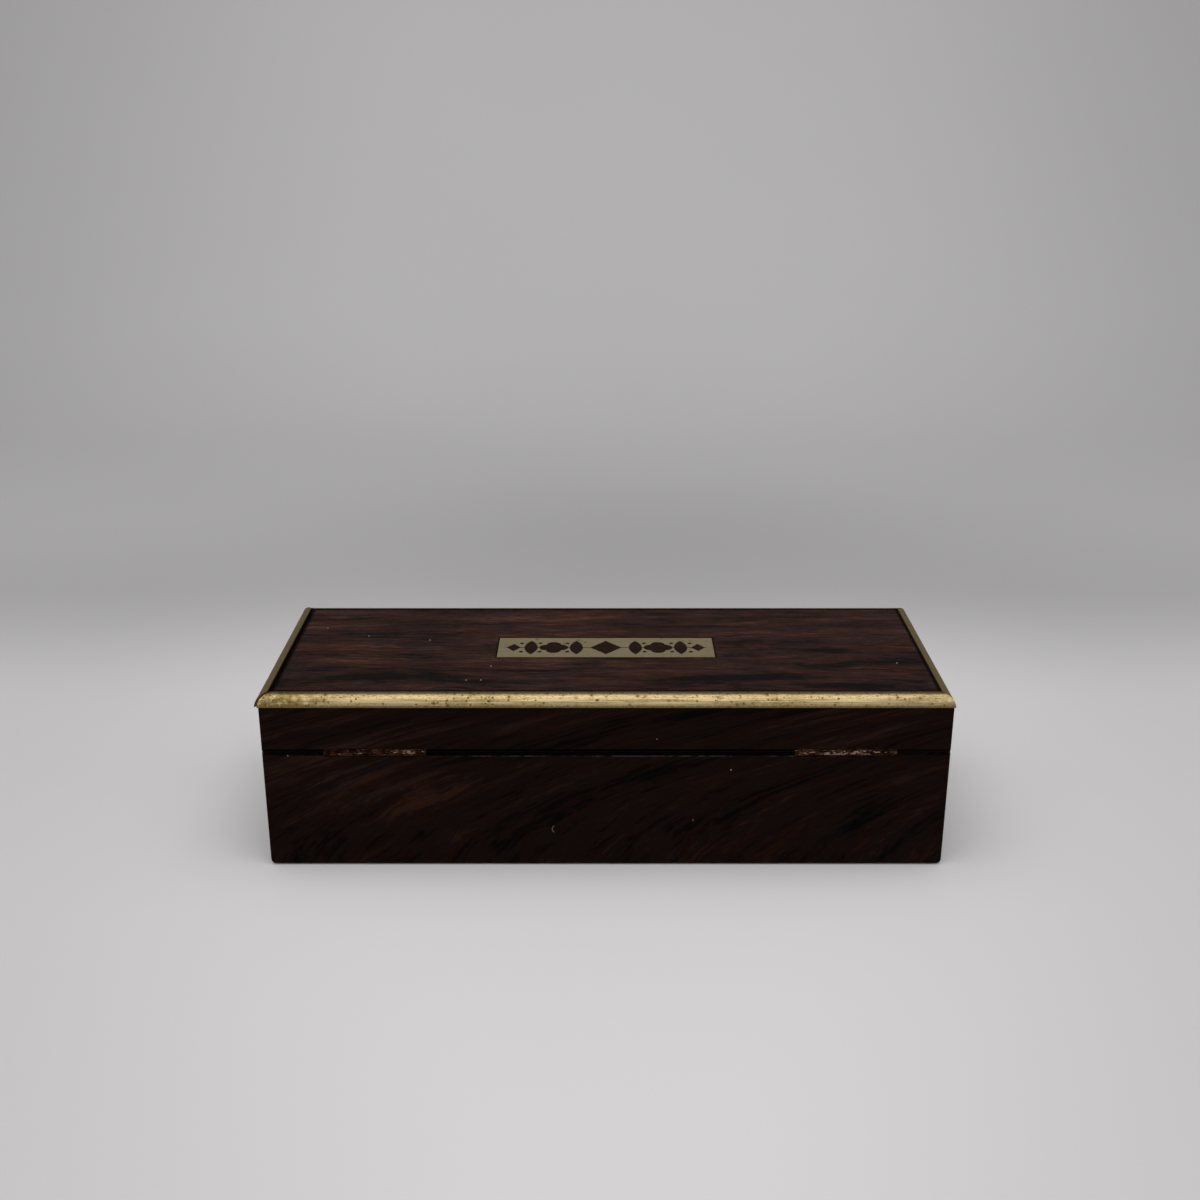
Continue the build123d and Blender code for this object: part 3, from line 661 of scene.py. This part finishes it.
class BeadsOperator(bpy.types.Operator):
    """Makes the four quarter-round brass beads of the lid"""

    bl_idname = "glovebox.beads"
    bl_label = "Beads"

    # Pin heads of the long beads: x and z. Their deep pits: x, z and radius.
    pins = ((-120.2, 67.9), (118.5, 68), (-41, 68.2), (41.5, 68))
    pits = (
        (62.9, 66.9, 0.75), (42.8, 67.6, 0.62), (41.4, 68.7, 0.4), (3.3, 67.9, 0.65),
        (-45.5, 67.5, 0.45), (91.2, 68.2, 0.38), (69.1, 66.6, 0.42), (50.4, 68.6, 0.35),
        (-39.9, 67.8, 0.4), (-84.7, 68.3, 0.4),
    )
    # In millimetres: how far apart a bead's rings of points are, and the dents along half of it.
    ring_pitch, dent_pitch = 0.9, 5
    crisp_angle = math.radians(40)

    def execute(self, context):
        clean, dull = colours().brass, colours().tarnish
        along_x = aged_brass("bead_brass_long", clean, dull, 0.26, 0.5, 0.3, self.age_long)
        dim = tinted(clean, 0.55)
        along_y = aged_brass("bead_brass_short", dim, dull, 0.46, 0.9, 0.3, self.age_short, "yxz")
        self.bead("bead_back", (1, 0, 0), (0, -1, 0), along_x, 11)
        self.bead("bead_front", (1, 0, 0), (0, 1, 0), along_x, 23)
        self.bead("bead_left", (0, 1, 0), (1, 0, 0), along_y, 37)
        self.bead("bead_right", (0, 1, 0), (-1, 0, 0), along_y, 41)
        return {"FINISHED"}

    def age_long(self, f, colour, dark):
        """A painted highlight in broken streaks just below the lamp's own, both edges darker, green
        tarnish at the ends and in a few places, pin heads filed flush and deep pits."""
        rough_edge = f.noise(1, 4, 0.7, f.point(f.x * 0.45, 0))
        streak = f.noise(1, 3, 0.7, f.point(f.x * 0.03, 0, f.z * 2.6)).step(0.45, 0.57)
        # Painted highlight: a bright band in broken streaks, just below where the lamp's highlight
        # falls.
        painted_highlight = f.z.bump(67.6, 0.75) * f.z.step(68.7, 68.1) * (0.12 + 0.88 * streak)
        foot = (f.z + 1.4 * (rough_edge - 0.5)).step(66.25, 65.75)
        crest = (f.z + 0.6 * rough_edge).step(69.65, 70)
        gather = f.x.bump(50, 13).most(f.x.bump(-62, 12)).most(f.x.bump(110, 14))
        ends = f.x.step(88, 118).most(f.x.step(-100, -134) * 0.55).most(gather * 0.45)
        green = ends * f.noise(0.35, 4, 0.7).step(0.38, 0.56)
        close, pick = f.cells(0.7)
        speck = (close + 0.3 * (rough_edge - 0.5)).step(0.4, 0.2)
        speck = speck * (pick + 0.35 * gather).step(0.84, 0.88)
        colour = f.layers(
            colour,
            (painted_highlight * 0.95, (0.9, 0.71, 0.38)),
            (foot * 0.7, (0.085, 0.06, 0.022)),
            (crest * 0.55, (0.15, 0.11, 0.05)),
            (green * 0.9, (0.205, 0.148, 0.04)),
            (speck * 0.8, (0.13, 0.08, 0.014)),
        )
        for x, z in self.pins:
            away = ((f.x - x) * (f.x - x) + (f.z - z) * (f.z - z)) ** 0.5
            dark = dark.most(away.bump(0.6, 0.09) * 0.45).most(away.step(0.6, 0.45) * 0.18)
        wobble = f.noise(2, 2) * 0.6 - 0.3
        for x, z, radius in self.pits:
            away = ((f.x - x) * (f.x - x) * 0.5 + (f.z - z) * (f.z - z) * 1.4) ** 0.5 + wobble
            dark = dark.most(away.step(radius, 0.5 * radius))
        return colour, dark

    def age_short(self, f, colour, dark):
        """Darker along the lower edge. The flat inner faces, one of which stands clear of the lid,
        are painted near black, as painted shade and dirt."""
        foot = (f.z + f.noise(0.5, 3)).step(66.9, 66.2)
        # Painted shade and dirt: the inner faces of the side beads are near black.
        inner = f.x.step(124.2, 123.7) * f.x.step(100, 101)
        inner = inner.most(f.x.step(-123.3, -122.7) * f.x.step(-100, -101))
        darkening = (foot * 0.6, (0.07, 0.052, 0.022)), (inner * 0.92, (0.01, 0.007, 0.004))
        return f.layers(colour, *darkening), dark

    def bead(self, node, along, inward, material, seed):
        """P(u, v) = corner + along (run - a(v)) u + inward a(v) + up b(v), with (a, b) round a
        quarter circle, its flat back and its seat. The ends are mitred, since the run shortens by
        a. Dents press the round face in towards its centre by a smooth random wave and bells."""
        low, high = corners(node)
        along, inward, up = (np.array(v, float) for v in (along, inward, (0, 0, 1)))
        radius = high[2] - low[2]
        half = abs((high - low) @ along) / 2
        half_mm = half / MM
        start = (low + high) / 2 - inward * abs((high - low) @ inward) / 2
        start[2] = low[2]
        turn = np.radians(np.linspace(0, 90, 19))
        flat = np.linspace(1, 0, 5)[1:]
        a = np.concatenate([radius * (1 - np.cos(turn)), np.full(4, radius), radius * flat[:-1]])
        b = np.concatenate([radius * np.sin(turn), radius * flat, np.zeros(3)])
        rows, columns = int(half * 2 / MM / self.ring_pitch), len(a)
        u = np.linspace(-1, 1, rows)[:, None]
        v = np.linspace(0, 1, len(turn))[None, :]
        place = u * half / MM
        dents = 0.5 + 0.5 * ripple(place, 3 * v, seed, 9, 0.05, 0.9)
        draw = np.random.default_rng(seed + 1)
        for _ in range(int(half_mm / self.dent_pitch)):
            x, w = draw.uniform(-half_mm, half_mm), draw.uniform(0.1, 0.9)
            long = draw.uniform(0.5, 2.4)
            bell = np.exp(-(((place - x) / long) ** 2) - ((v - w) / 0.12) ** 2)
            dents = dents + draw.uniform(0.2, 1) * bell
        press = sizes().bead_wear * np.clip(dents, 0, 1.8) * np.sin(np.pi * v) ** 0.5
        a, b = (np.tile(line, (rows, 1)) for line in (a, b))
        a[:, : len(turn)] += press * np.cos(turn)
        b[:, : len(turn)] -= press * np.sin(turn)
        points = start + ((half - a) * u)[..., None] * along
        points = points + a[..., None] * inward + b[..., None] * up
        name = node.replace("bead_", "brass_bead_")
        faces = tube_faces(rows, columns)
        piece = make_piece(name, points, faces, material, "lid", [node])
        edges = piece.modifiers.new("crisp_edges", "EDGE_SPLIT")
        edges.split_angle = self.crisp_angle


class InlayOperator(bpy.types.Operator):
    """Dulls the inlaid brass panel of the lid"""

    bl_idname = "glovebox.inlay"
    bl_label = "Inlaid panel"

    def execute(self, context):
        inlay = colours().inlay
        finish = aged_brass("inlay_brass", inlay, tinted(inlay, 0.62), 0.46, 0.35, 0.12)
        dress(finish, "inlay_plate")
        return {"FINISHED"}


class HingesOperator(bpy.types.Operator):
    """Corrodes the two hinges and their screws"""

    bl_idname = "glovebox.hinges"
    bl_label = "Hinges"

    def execute(self, context):
        leaf = self.crust("hinge_crust", colours().rust)
        for side in ("left", "right"):
            dress(leaf, f"hinge_base_leaf_{side}", f"hinge_lid_leaf_{side}", f"hinge_pin_{side}")
        dress(leaf, "hinge_base_screws", "hinge_lid_screws")
        return {"FINISHED"}

    def crust(self, name, rust):
        """Dark corroded brass under brown crust, with pale flakes of old polish on the knuckles,
        thickest near x 76 and all along the left hinge. A painted highlight runs along the knuckle
        and the leaves' edges, with painted shade, near black, beside it. Between the boards it is
        only dull."""
        f = Finish(name)
        cloud = f.drawn(f.lie("xyz"), 0.2, 0.6, 4, 0.7)
        grit = f.drawn(f.lie("xyz"), 1.1, 2.6, 4, 0.75)
        tone = 0.5 + 1.3 * (cloud - 0.5) + 1.2 * (grit - 0.5)
        black, brown = (0.005, 0.003, 0.002), (0.17, 0.066, 0.02)
        colour = f.ramp(tone, (0.4, black), (0.56, rust), (0.76, brown))
        # Painted light: a lit band along the knuckle and thin lit lines at the leaves' edges, with
        # painted shade, near black, beside them.
        painted_lit_band = f.z.bump(47.25, 0.5).most(f.z.bump(48.3, 0.16) * 0.6)
        painted_lit_band = painted_lit_band.most(f.z.bump(46.15, 0.2) * 0.7)
        thick = f.x.bump(76, 6).most(f.x.bump(-88, 20) * 1.25).most(f.x.bump(99, 12) * 0.35)
        shreds = f.noise(1, 3, 0.7, f.point(f.x * 0.55, f.y * 1.2, f.z * 1.5))
        flake = (shreds + 0.13 * thick).step(0.665, 0.7) * f.z.bump(47.3, 0.75).step(0.3, 0.6)
        tarnish = f.mix(cloud.step(0.4, 0.62), (0.05, 0.034, 0.02), (0.105, 0.074, 0.04))
        colour = f.layers(
            colour,
            ((1 - painted_lit_band) * 0.92, (0.005, 0.0018, 0.001)),
            (flake * 0.95, (0.28, 0.2, 0.15)),
            (f.y.step(45.4, 44.6), tarnish),
        )
        normal = f.relief(0.7 * grit + 0.5 * cloud + 0.8 * flake, 0.16)
        metal = 0.12 * painted_lit_band * (1 - flake)
        return f.surface(colour, 0.68, normal, metal, specular=0.01)


class LockOperator(bpy.types.Operator):
    """Finishes the lock, the key, the escutcheon and their screws"""

    bl_idname = "glovebox.lock"
    bl_label = "Lock and key"

    def execute(self, context):
        clean, dull = colours().brass, colours().tarnish
        plate = aged_brass("lock_brass", clean, dull, 0.34, 0.25, 0.16)
        screws = aged_brass("screw_brass", clean, dull, 0.36, 0.55, 0.3, self.filed)
        dress(plate, "lock_plate", "lock_case", "link_plate", "escutcheon")
        dress(screws, "lock_screws", "link_plate_screws", "escutcheon_nails")
        steel = self.filed_steel("filed_steel")
        dress(steel, "lock_bolt", "lock_spring", "lock_drill_pin", "lock_stumps", "key")
        return {"FINISHED"}

    def filed(self, f, colour, dark):
        return colour, dark.most(f.noise(0.8, 2).step(0.6, 0.7) * 0.5)

    def filed_steel(self, name):
        """Grey steel with file marks across it and freckles of brown rust."""
        f = Finish(name)
        marks = f.drawn(f.lie("xyz"), 4, 0.6, 3, 0.6)
        cloud = f.noise(0.25, 3, 0.6)
        freckle = f.noise(1.3, 4, 0.75).step(0.6, 0.7) * cloud.step(0.42, 0.6)
        colour = f.ramp(cloud, (0.35, (0.24, 0.235, 0.23)), (0.65, (0.44, 0.43, 0.415)))
        colour = f.mix(freckle * 0.85, colour, (0.085, 0.036, 0.016))
        rough = 0.32 + 0.15 * marks + 0.35 * freckle
        normal = f.relief(marks + 0.8 * freckle, 0.03)
        return f.surface(colour, rough, normal, 1 - 0.8 * freckle)


def silk(name, axes, seed):
    """Ribbed silk: a round rib across finer threads, faded in clouds and pale on its swells."""
    f = Finish(name)
    along, across = f.lie(axes)
    rib_pitch = sizes().silk_rib / MM
    rib = (across * (2 * math.pi / rib_pitch)).sine() * 0.5 + 0.5
    thread = (along * (2 * math.pi / (0.6 * rib_pitch))).sine() * 0.5 + 0.5
    slub = f.drawn((along, across), 0.05, 3, seed=seed)
    cloud = f.noise(0.035, 3, 0.6)
    ruby = colours().silk
    faded, deep = tinted(ruby, (1.2, 2.1, 1.8)), tinted(ruby, (0.55, 0.5, 0.5))
    colour = f.ramp(cloud, (0.32, deep), (0.5, ruby), (0.7, faded))
    stain = f.noise(0.022, 3, 0.55).bump(0.6, 0.012)
    # Painted shade: the troughs between the ribs are painted darker.
    coats = (slub.step(0.5, 0.7) * 0.35, faded), ((1 - rib) * 0.35, deep), (stain * 0.4, deep)
    return f.surface(
        f.layers(colour, *coats),
        0.44,
        f.relief(0.7 * rib + 0.3 * thread + 0.5 * slub, 0.06),
        specular=0.45,
        sheen=(0.22, 0.35, (1, 0.72, 0.7)),
    )


class LiningsOperator(bpy.types.Operator):
    """Covers the card linings of the base and the lid with silk"""

    bl_idname = "glovebox.linings"
    bl_label = "Linings"

    # In metres: the pitch of the panels' mesh, and the room round the lock plate.
    mesh_pitch, lock_room = 2.5 * MM, 0.4 * MM
    first_seed = 50

    def execute(self, context):
        long_silk = silk("silk_long_walls", "xz", 4)
        end_silk = silk("silk_end_walls", "yz", 8)
        walls = (("front", long_silk), ("back", long_silk), ("left", end_silk), ("right", end_silk))
        for lid, half in enumerate(("base", "lid")):
            for index, (wall, material) in enumerate(walls):
                seed = self.first_seed + lid * len(walls) + index
                self.panel(half, wall, material, seed)
        return {"FINISHED"}

    def panel(self, half, wall, material, seed):
        """P(s, t) = back + (s, t) + inward T e(s) e(t) n(s, t): e rises as a quarter circle from 0
        at each edge to 1 a roll further in, and n does the same round the lock plate's notch."""
        node, roll = f"{half}_{wall}_lining", sizes().lining_round
        low, high = corners(node)
        thin = 1 if wall in ("front", "back") else 0
        run = 1 - thin
        inward = -1 if (low + high)[thin] > 0 else 1
        back = high[thin] if inward < 0 else low[thin]
        s = self.stops(low[run], high[run], roll)
        t = self.stops(low[2], high[2], roll)
        notched = node == "base_front_lining"
        if notched:
            plate_low, plate_high = corners("lock_plate")
            left, right = plate_low[0] - self.lock_room, plate_high[0] + self.lock_room
            foot = plate_low[2] - self.lock_room
            near = self.curl(roll)
            s = np.unique(np.concatenate([s, left - near, right + near]).round(7))
            t = np.unique(np.concatenate([t, foot - near]).round(7))
        s, t = np.meshgrid(s, t, indexing="ij")
        lift = quarter_round(np.minimum(s - low[run], high[run] - s), roll)
        lift = lift * quarter_round(np.minimum(t - low[2], high[2] - t), roll)
        faces = grid_faces(*s.shape)
        if notched:
            aside = np.maximum(np.maximum(left - s, s - right), 0)
            lift = lift * quarter_round(np.hypot(aside, np.maximum(foot - t, 0)), roll)
            middle_s = (s[:-1, :-1] + s[1:, 1:]) / 2
            middle_t = (t[:-1, :-1] + t[1:, 1:]) / 2
            inside = (middle_s > left) & (middle_s < right) & (middle_t > foot)
            faces = faces[~inside.reshape(-1)]
        wave = 0.94 + 0.06 * ripple(s * 60, t * 60, seed, 8, 1, 5)
        skin = np.zeros((2, *s.shape, 3))
        skin[..., run], skin[..., thin], skin[..., 2] = s, back, t
        skin[0, ..., thin] += inward * ((high - low)[thin] * lift * wave)
        faces = on_both(faces, s.size).tolist()
        name = node.replace("lining", "silk_panel")
        make_piece(name, skin, faces, material, half, [node], weld=WELD)

    def curl(self, roll):
        """Stops that crowd towards 0, for the quarter circle of a rolled edge."""
        return roll * (1 - np.cos(np.radians(np.linspace(0, 90, 7))))

    def stops(self, low, high, roll):
        """Where the mesh lines of a panel lie: even ones, and the curl of each edge."""
        near = self.curl(roll)
        count = max(6, int((high - low) / self.mesh_pitch))
        between = np.linspace(low + roll, high - roll, count)
        return np.unique(np.concatenate([low + near, between, high - near]).round(7))


class PadsOperator(bpy.types.Operator):
    """Stuffs the tufted lid pad and the floor pad"""

    bl_idname = "glovebox.pads"
    bl_label = "Pads"

    # Points lower than this share of a pad's thickness are held while it is puffed.
    held_share = 0.36
    # How far a pad's skin stays inside the node's box, and buttons from the edge, in metres.
    inset, button_margin = 0.1 * MM, 5 * MM
    # A button's profile: radius and height, as shares. Its height in metres, and how far up the
    # pad its back lies, as a share of the pad's thickness.
    profile = ((1, 0), (1, 0.3), (0.92, 0.62), (0.72, 0.85), (0.42, 0.97), (0.16, 1))
    button_height, button_seat = 1.3 * MM, 0.5
    # The cloth that a pad is puffed as. Below 0, shrink_min lets it grow.
    cloth = {
        "quality": 5, "mass": 0.1, "tension_stiffness": 8, "compression_stiffness": 8,
        "shear_stiffness": 4, "bending_stiffness": 0.05, "shrink_min": -0.05, "use_pressure": True,
    }

    def execute(self, context):
        """The lid pad is a diamond quilt: its swell is the product of two slanting waves, pulled
        to the board at each tuft. The floor pad is crowned, with a stitched channel round it."""
        pitch_x, pitch_y = sizes().quilt_long, sizes().quilt_wide
        low, high = corners("floor_pad")

        def quilted(x, y):
            first = np.abs(np.sin(np.pi * (x / pitch_x + y / pitch_y)))
            second = np.abs(np.sin(np.pi * (x / pitch_x - y / pitch_y)))
            return 0.3 + 0.62 * (first * second) ** 0.45

        def crowned(x, y):
            edge = edge_distance(x, y, low, high) / MM
            channel = 0.3 * np.exp(-(((edge - 6.5) / 0.8) ** 2))
            across = 1 - ((y - (low + high)[1] / 2) / ((high - low)[1] / 2)) ** 2
            crown = 0.66 + 0.22 * np.clip(across, 0, 1) ** 0.7
            return crown - channel + 0.03 * ripple(x * 40, y * 40, 5)

        flat_silk = silk("silk_pads", "xy", 15)
        piece = self.slab("lid_pad", "quilted_lid_pad", "lid", -1, flat_silk, quilted, 1.2 * MM)
        self.puff(context, piece, "lid_pad", -1, 0.45 * MM, 1.5)
        self.buttons("lid_pad", "lid", -1, flat_silk, pitch_x, pitch_y)
        piece = self.slab("floor_pad", "padded_floor", "base", 1, flat_silk, crowned, 1.3 * MM)
        self.puff(context, piece, "floor_pad", 1, 0.5 * MM, 1)
        return {"FINISHED"}

    def slab(self, node, name, body, up, material, height, cell):
        """A closed slab over a node's plan: P(x, y) = (x, y, seat + up T height(x, y) r(x, y)),
        with r a quarter round at the rim, over a flat back."""
        low, high = corners(node)
        wide, deep, thick = high - low
        x = np.linspace(low[0], high[0], int(round(wide / cell)) + 1)
        y = np.linspace(low[1], high[1], int(round(deep / cell)) + 1)
        x, y = np.meshgrid(x, y, indexing="ij")
        lift = height(x, y) * quarter_round(edge_distance(x, y, low, high), 1.3 * thick)
        seat = low[2] if up > 0 else high[2]
        points = places(x, y, seat + up * thick * np.stack([lift, 0 * lift]))
        faces = on_both(grid_faces(*x.shape), x.size).tolist()
        return make_piece(name, points, faces, material, body, [node], weld=WELD)

    def puff(self, context, piece, node, up, cap, pressure):
        """Inflates the pad as cloth for a few steps, with its seat, rim and tufts held, lets no
        point move further than cap, and applies the result."""
        low, high = corners(node)
        mesh = piece.data
        skin = self.skin(mesh)
        seat = low[2] if up > 0 else high[2]
        tall = np.abs(skin[:, 2] - seat) / (high - low)[2]
        held = np.flatnonzero(tall < self.held_share)
        shift = self.inflated(context, piece, held, pressure) - skin
        far = np.linalg.norm(shift, axis=1, keepdims=True)
        skin = skin + shift * np.minimum(1, cap / np.maximum(far, 1e-9))
        if up > 0:
            high[2] -= self.inset
        else:
            low[2] += self.inset
        skin = np.clip(skin, low, high)
        mesh.vertices.foreach_set("co", skin.astype(np.float32).ravel())
        mesh.update()
        smooth = piece.modifiers.new("fine_silk", "SUBSURF")
        smooth.levels = smooth.render_levels = 1

    def skin(self, mesh):
        """A mesh's points, as an array."""
        points = np.zeros(len(mesh.vertices) * 3, np.float32)
        mesh.vertices.foreach_get("co", points)
        return points.reshape(-1, 3)

    def inflated(self, context, piece, held, pressure):
        """Where the piece's points lie after the cloth steps."""
        group = piece.vertex_groups.new(name="held")
        group.add(held.tolist(), 1, "REPLACE")
        cloth = piece.modifiers.new("stuffing", "CLOTH")
        settings = cloth.settings
        for name, value in self.cloth.items():
            setattr(settings, name, value)
        settings.uniform_pressure_force = pressure
        settings.vertex_group_mass = group.name
        settings.effector_weights.gravity = 0
        cloth.collision_settings.use_collision = False
        for step in range(1, sizes().pad_steps + 1):
            context.scene.frame_set(step)
        shown = piece.evaluated_get(context.evaluated_depsgraph_get())
        moved = self.skin(shown.data)
        piece.modifiers.remove(cloth)
        piece.vertex_groups.clear()
        context.scene.frame_set(1)
        return moved

    def buttons(self, node, body, up, material, pitch_x, pitch_y):
        """Domed silk buttons at the tufts: P(r, a) = tuft + (r cos a, r sin a, h(r)) on a flat
        back. The tufts are every other point of a grid of half pitches."""
        low, high = corners(node)
        wide, deep, thick = high - low
        seat = low[2] if up > 0 else high[2]
        reach_x, reach_y = 2 * (int(wide / pitch_x) + 1), 2 * (int(deep / pitch_y) + 1)
        i, j = np.mgrid[-reach_x : reach_x + 1, -reach_y : reach_y + 1].reshape(2, -1)
        tufts = np.stack([i * pitch_x / 2, j * pitch_y / 2], -1)[(i + j) % 2 == 0]
        tufts = tufts[np.all(np.abs(tufts) < high[:2] - self.button_margin, axis=1)]
        turn = np.linspace(0, 2 * np.pi, 17)[:-1]
        ring, tall = np.array(self.profile).T[:, :, None]
        ring = sizes().button_radius * ring
        height = up * self.button_height * tall
        dome = places(ring * np.cos(turn), ring * np.sin(turn), height).reshape(-1, 3)
        back = np.full((len(tufts), 1), seat + up * self.button_seat * thick)
        points = dome[None] + np.concatenate([tufts, back], 1)[:, None]
        faces = tube_faces(len(ring), len(turn))
        every = [[i + k * len(dome) for i in face] for k in range(len(tufts)) for face in faces]
        make_piece("lid_pad_buttons", points, every, material, body)


class BaizeOperator(bpy.types.Operator):
    """Glues the green baize under the base"""

    bl_idname = "glovebox.baize"
    bl_label = "Baize"

    # Points along and across the sheet. How far its cut edge wanders in, its nap is worn, and its
    # rim is pressed thin, in metres.
    rows, columns = 126, 47
    cut, worn, pressed = 0.25 * MM, 0.06 * MM, 0.15 * MM

    def execute(self, context):
        """P(u, v) = middle + (u, v) times half the size less the wander of the cut edges. The
        upper layer is flat, and the lower one rises a little where it is worn and at its rim."""
        low, high = corners("underside_baize")
        size = high - low
        middle = (low + high) / 2
        u = np.linspace(-1, 1, self.rows)[:, None]
        v = np.linspace(-1, 1, self.columns)[None, :]
        in_x = self.cut * (0.5 + 0.5 * ripple(40 * v, 0 * u, 61))
        in_y = self.cut * (0.5 + 0.5 * ripple(90 * u, 0 * v, 62))
        x = middle[0] + u * (size[0] / 2 - in_x)
        y = middle[1] + v * (size[1] / 2 - in_y)
        rim = np.clip((1 - np.maximum(abs(u), abs(v))) * 40, 0, 1)
        rise = self.worn * (0.5 + 0.5 * ripple(30 * u, 12 * v, 63)) + self.pressed * (1 - rim)
        index = np.arange(x.size).reshape(x.shape)
        around = np.concatenate([index[0], index[1:, -1], index[-1, -2::-1], index[-2:0:-1, 0]])
        following = np.roll(around, -1)
        wall = np.stack([around, following, following + x.size, around + x.size], -1)
        faces = on_both(grid_faces(self.rows, self.columns), x.size)
        faces = np.concatenate([faces, wall]).tolist()
        finish = self.nap("green_baize", colours().baize)
        points = np.stack([places(x, y, low[2] + rise), places(x, y, high[2])])
        node = "underside_baize"
        piece = make_piece("baize_sheet", points, faces, finish, "base", [node])
        return {"FINISHED"}

    def nap(self, name, green):
        """Green wool: fuzz and brushed nap, worn through to the ground in clouds."""
        f = Finish(name)
        fuzz = f.noise(1.8, 4, 0.8)
        nap = f.noise(1, 3, 0.7, f.point(f.x * 0.9, f.y * 3.2, f.z))
        worn_through = f.noise(0.045, 4, 0.65).step(0.52, 0.68)
        dark, light = tinted(green, 0.5), tinted(green, 1.7)
        colour = f.ramp(0.5 * fuzz + 0.5 * nap, (0.32, dark), (0.5, green), (0.68, light))
        colour = f.mix(worn_through * 0.55, colour, (0.075, 0.085, 0.05))
        return f.surface(
            colour,
            0.95,
            f.relief(fuzz + 0.6 * nap, 0.22),
            specular=0.1,
            sheen=(0.4, 0.5, (0.6, 0.9, 0.7)),
        )


# ---- panel and running order


class GloveBoxPanel(bpy.types.Panel):
    """Lists the glove box's steps, sizes and colours"""

    bl_idname = "VIEW3D_PT_glove_box"
    bl_label = "Glove box"
    bl_space_type = "VIEW_3D"
    bl_region_type = "UI"
    bl_category = "Glove box"

    def draw(self, context):
        for step in STEPS:
            self.layout.operator(step.bl_idname)
        for group in (sizes(), colours()):
            for name in type(group).__annotations__:
                self.layout.prop(group, name)


STEPS = (
    StageOperator, RosewoodOperator, CarcaseOperator, BeadsOperator, InlayOperator,
    HingesOperator, LockOperator, LiningsOperator, PadsOperator, BaizeOperator,
)
CLASSES = (GloveBoxSizes, GloveBoxColours, *STEPS, GloveBoxPanel)


def register():
    for item in CLASSES:
        bpy.utils.register_class(item)
    bpy.types.Scene.glove_box_sizes = PointerProperty(type=GloveBoxSizes)
    bpy.types.Scene.glove_box_colours = PointerProperty(type=GloveBoxColours)


def unregister():
    del bpy.types.Scene.glove_box_colours
    del bpy.types.Scene.glove_box_sizes
    for item in reversed(CLASSES):
        bpy.utils.unregister_class(item)


def main():
    register()
    for step in STEPS:
        group, _, verb = step.bl_idname.partition(".")
        getattr(getattr(bpy.ops, group), verb)()


if __name__ == "__main__":
    main()
